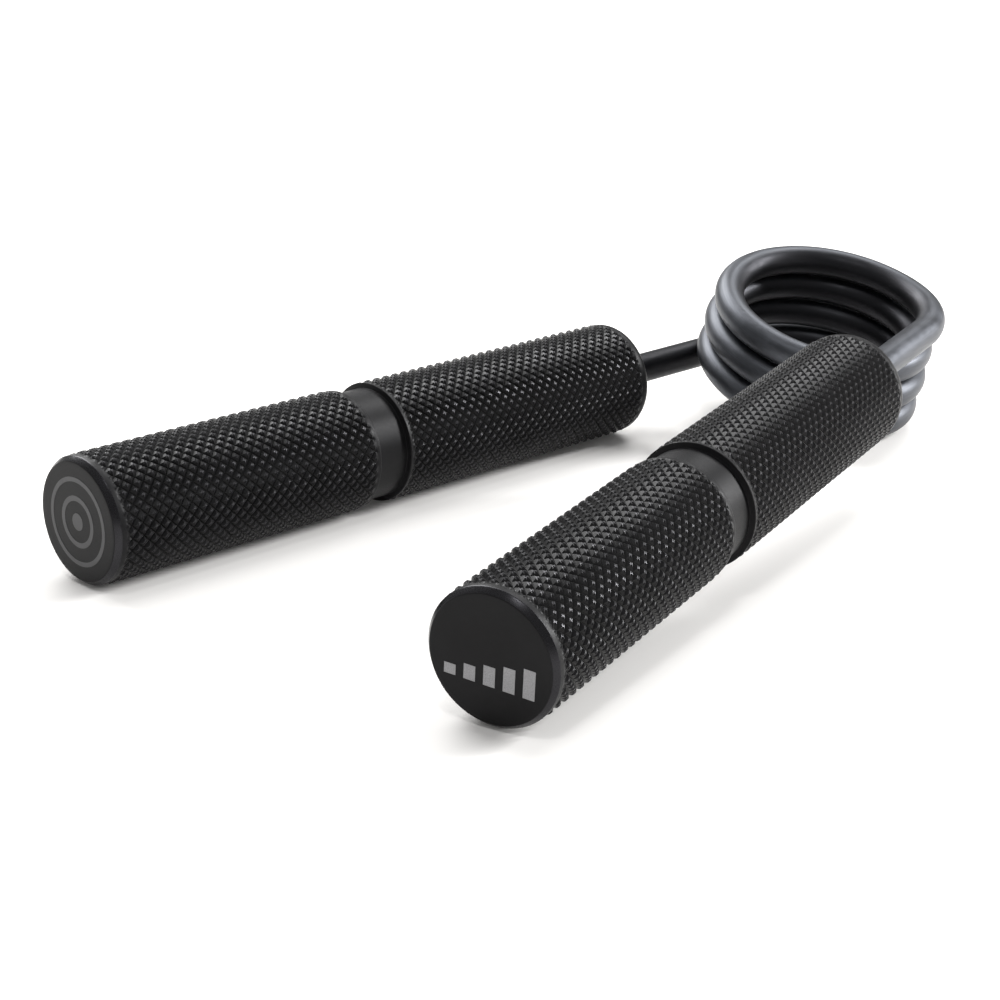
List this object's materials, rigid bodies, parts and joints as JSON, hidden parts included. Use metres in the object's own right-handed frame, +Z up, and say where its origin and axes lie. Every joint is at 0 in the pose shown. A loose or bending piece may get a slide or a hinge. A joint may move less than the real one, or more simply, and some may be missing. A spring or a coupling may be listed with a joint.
{
  "type": "hand grip exerciser",
  "caption": "Hand grip exerciser: two knurled round metal handles on the legs of one torsion spring, squeezed together against its coil.",
  "frame": {"origin": "centre of the bounding box, on the floor that the part lies on", "axes": "+Z up, +Y from the free handle ends towards the coil, +X to the right seen from the free ends"},
  "size_m": [0.109, 0.1886, 0.0339],
  "materials": {
    "handle": "black anodised, satin, knurled",
    "spring": "dark gunmetal oxide, semi-gloss"
  },
  "bodies": {
    "left": {"handle_left": "handle", "spring_leg_left": "spring"},
    "right": {"handle_right": "handle", "spring_leg_right": "spring"},
    "coil_1": {"spring_coil_1": "spring"},
    "coil_2": {"spring_coil_2": "spring"},
    "coil_3": {"spring_coil_3": "spring"},
    "coil_4": {"spring_coil_4": "spring"},
    "coil_5": {"spring_coil_5": "spring"},
    "coil_6": {"spring_coil_6": "spring"},
    "coil_7": {"spring_coil_7": "spring"}
  },
  "joints": [
    {"name": "squeeze", "type": "hinge", "parent": "left", "child": "right", "pos_m": [0, 0.07029, 0.01682], "axis": [-0.2621, 0.0332, -0.9645], "range_deg": [0, 27], "stiffness_Nm_per_rad": 240},
    {"name": "coil_1_wind", "type": "hinge", "parent": "left", "child": "coil_1", "pos_m": [0, 0.07029, 0.01682], "axis": [-0.2621, 0.0332, -0.9645], "range_deg": [0, 2.2]},
    {"name": "coil_2_wind", "type": "hinge", "parent": "left", "child": "coil_2", "pos_m": [0, 0.07029, 0.01682], "axis": [-0.2621, 0.0332, -0.9645], "range_deg": [0, 6.1]},
    {"name": "coil_3_wind", "type": "hinge", "parent": "left", "child": "coil_3", "pos_m": [0, 0.07029, 0.01682], "axis": [-0.2621, 0.0332, -0.9645], "range_deg": [0, 9.9]},
    {"name": "coil_4_wind", "type": "hinge", "parent": "left", "child": "coil_4", "pos_m": [0, 0.07029, 0.01682], "axis": [-0.2621, 0.0332, -0.9645], "range_deg": [0, 13.8]},
    {"name": "coil_5_wind", "type": "hinge", "parent": "left", "child": "coil_5", "pos_m": [0, 0.07029, 0.01682], "axis": [-0.2621, 0.0332, -0.9645], "range_deg": [0, 17.7]},
    {"name": "coil_6_wind", "type": "hinge", "parent": "left", "child": "coil_6", "pos_m": [0, 0.07029, 0.01682], "axis": [-0.2621, 0.0332, -0.9645], "range_deg": [0, 21.5]},
    {"name": "coil_7_wind", "type": "hinge", "parent": "left", "child": "coil_7", "pos_m": [0, 0.07029, 0.01682], "axis": [-0.2621, 0.0332, -0.9645], "range_deg": [0, 25.4]}
  ],
  "couplings": [
    {"joint": "coil_1_wind", "follows": "squeeze", "ratio": 0.0714},
    {"joint": "coil_2_wind", "follows": "squeeze", "ratio": 0.2143},
    {"joint": "coil_3_wind", "follows": "squeeze", "ratio": 0.3571},
    {"joint": "coil_4_wind", "follows": "squeeze", "ratio": 0.5},
    {"joint": "coil_5_wind", "follows": "squeeze", "ratio": 0.6429},
    {"joint": "coil_6_wind", "follows": "squeeze", "ratio": 0.7857},
    {"joint": "coil_7_wind", "follows": "squeeze", "ratio": 0.9286}
  ]
}
